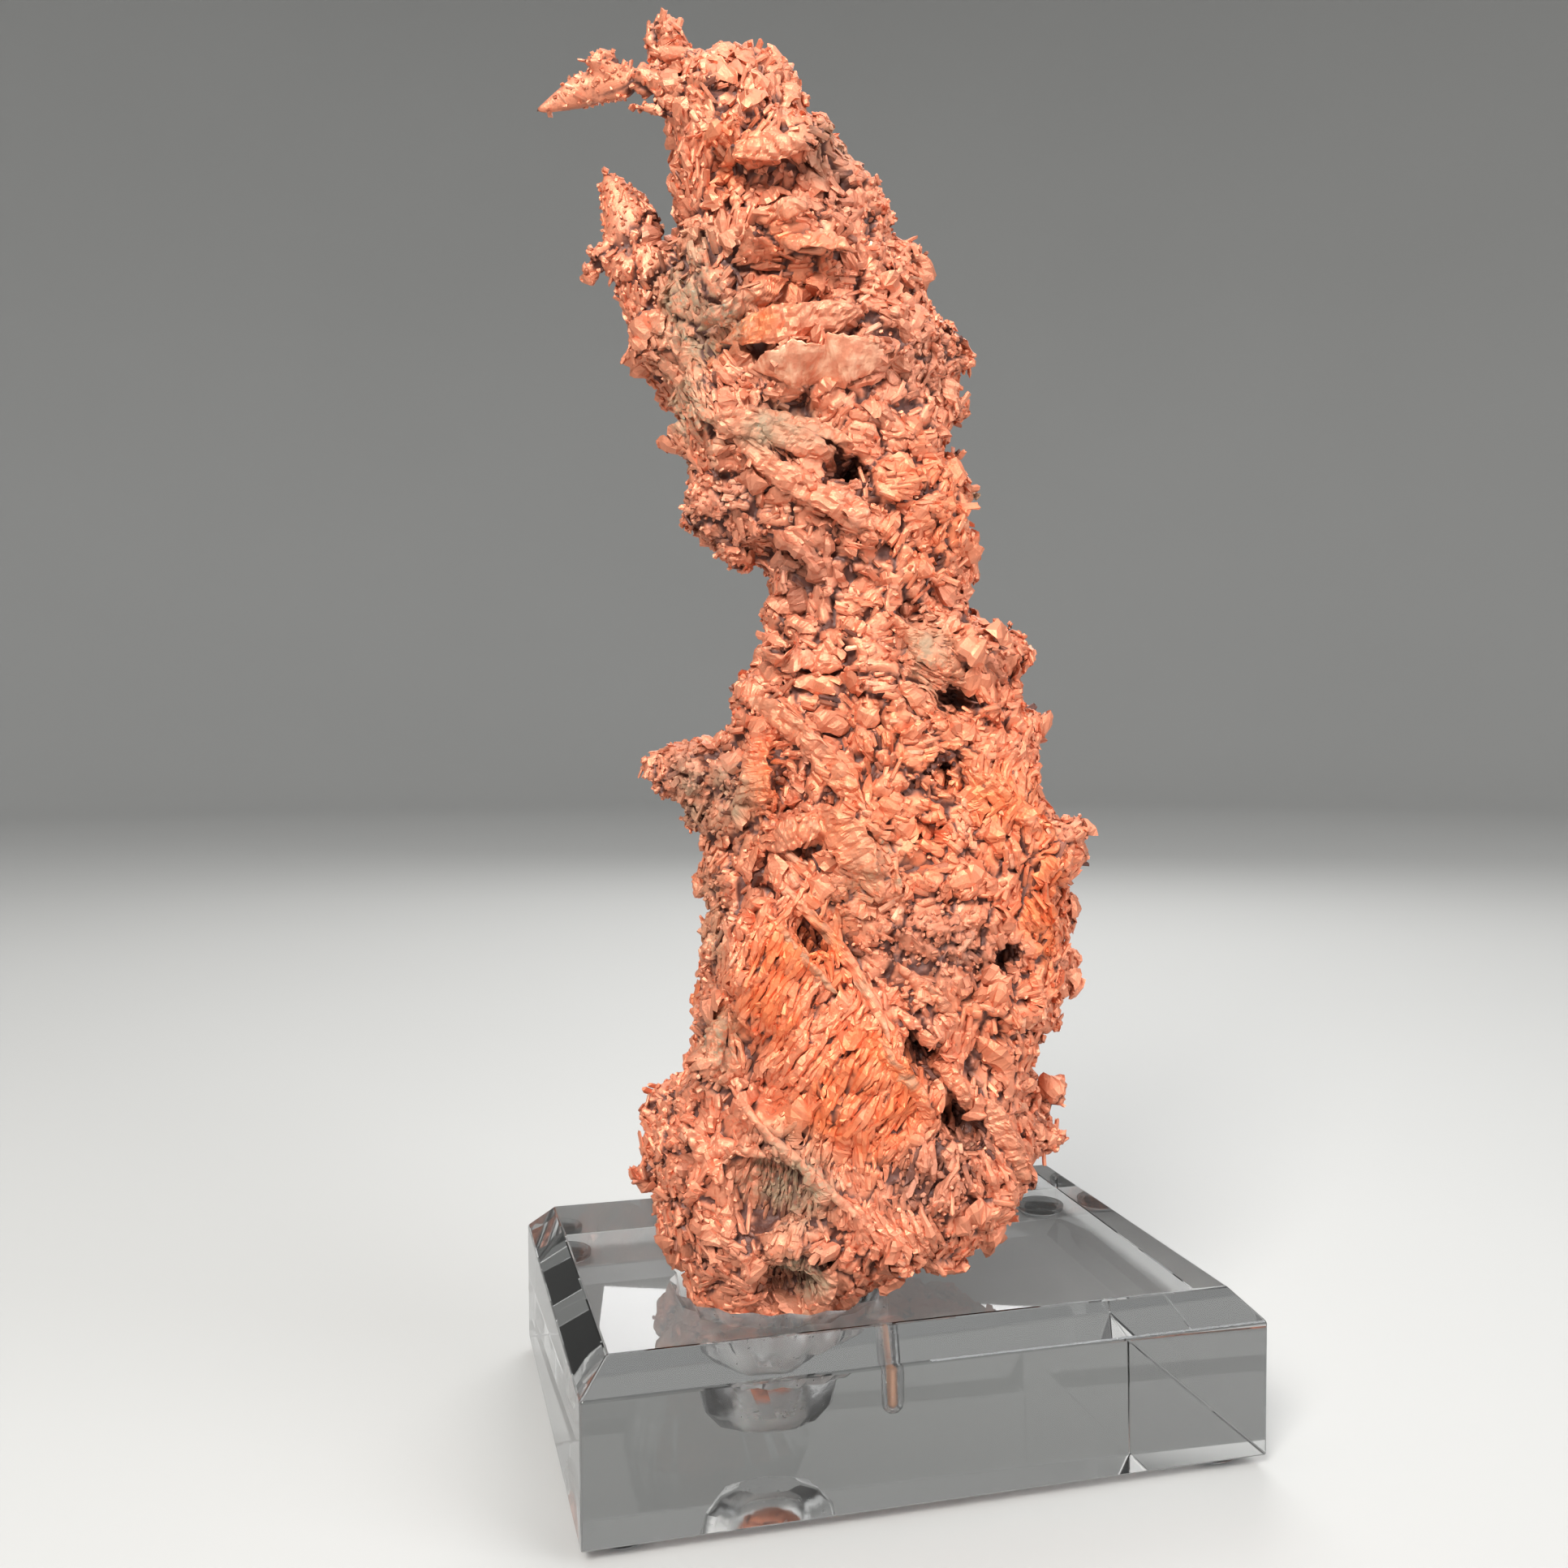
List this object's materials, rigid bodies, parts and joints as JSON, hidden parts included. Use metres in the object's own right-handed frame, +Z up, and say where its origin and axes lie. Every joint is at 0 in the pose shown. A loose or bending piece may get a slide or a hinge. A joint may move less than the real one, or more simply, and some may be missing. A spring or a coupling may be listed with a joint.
{
  "type": "native copper specimen on stand",
  "caption": "Tall leafy native copper specimen standing in a milled pocket of a clear chamfered acrylic block with round bumper feet.",
  "frame": {"origin": "centre of the block's footprint on the ground, under the feet", "axes": "+X to the right along the block's 100 mm side, +Y to the back, +Z up"},
  "size_m": [0.1, 0.072, 0.2156],
  "materials": {
    "copper": "matte oxidised native copper with orange leaflets and grey-green patina",
    "acrylic": "clear polished acrylic with frosted milled pocket",
    "bumper": "clear soft plastic bumper",
    "pin": "dull copper-coloured rod"
  },
  "bodies": {
    "root": {"native_copper": "copper", "acrylic_base": "acrylic", "foot_front_left": "bumper", "foot_front_right": "bumper", "foot_back_left": "bumper", "foot_back_right": "bumper", "support_pin": "pin"}
  },
  "joints": []
}
